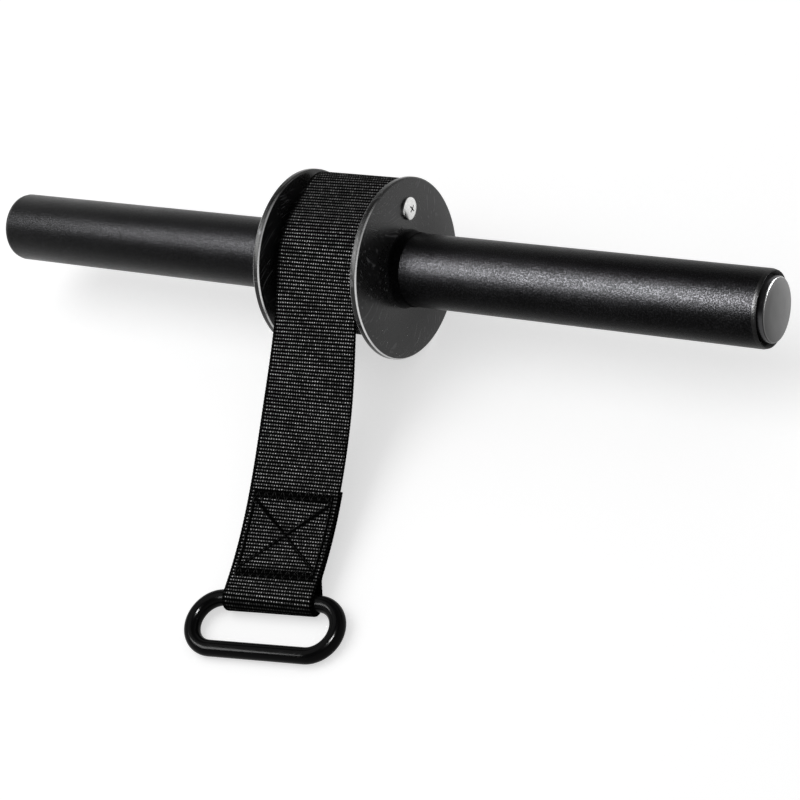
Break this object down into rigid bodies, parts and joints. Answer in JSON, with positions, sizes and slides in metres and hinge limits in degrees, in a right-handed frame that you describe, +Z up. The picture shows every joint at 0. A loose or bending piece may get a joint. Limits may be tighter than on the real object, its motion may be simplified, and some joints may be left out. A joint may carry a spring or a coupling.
{
  "type": "wrist roller",
  "caption": "Straight bar with a flanged spool at its middle; a webbing strap winds on it and ends in a sewn eye round an oval ring.",
  "frame": {"origin": "under the middle of the whole object's box, on the surface it stands on", "axes": "+X along the bar, +Z up; the free strap and its ring lie towards -Y"},
  "size_m": [0.4746, 0.2648, 0.095],
  "materials": {
    "bar_coat": "fine textured black powder coat",
    "disc_coat": "satin black powder coat",
    "plug_steel": "fine turned, dark satin",
    "bright_zinc": "bright zinc plate",
    "plain_steel": "turned",
    "webbing": "black ribbed nylon webbing",
    "ring_coat": "smooth satin black coat"
  },
  "bodies": {
    "strap": {"strap": "webbing", "strap_winding": "webbing", "strap_wound_core": "webbing"},
    "roller": {"bar_tube": "bar_coat", "left_end_plug": "plug_steel", "right_end_plug": "plug_steel", "spool_drum": "disc_coat", "left_flange": "disc_coat", "right_flange": "disc_coat", "anchor_pin": "plain_steel", "left_anchor_screw": "bright_zinc", "right_anchor_screw": "bright_zinc", "strap_inner_end": "webbing"},
    "ring": {"ring": "ring_coat"}
  },
  "joints": [
    {"name": "roller_turn", "type": "hinge", "parent": "strap", "child": "roller", "pos_m": [0, 0.08493, 0.0475], "axis": [-1, 0, 0], "range_deg": [-2070, 205], "deforming": ["strap_winding", "strap_wound_core", "strap_inner_end"]},
    {"name": "ring_swing", "type": "hinge", "parent": "strap", "child": "ring", "pos_m": [0.02351, -0.09671, 0.0065], "axis": [0.9897, 0.1428, 0], "range_deg": [-152, 170]}
  ]
}
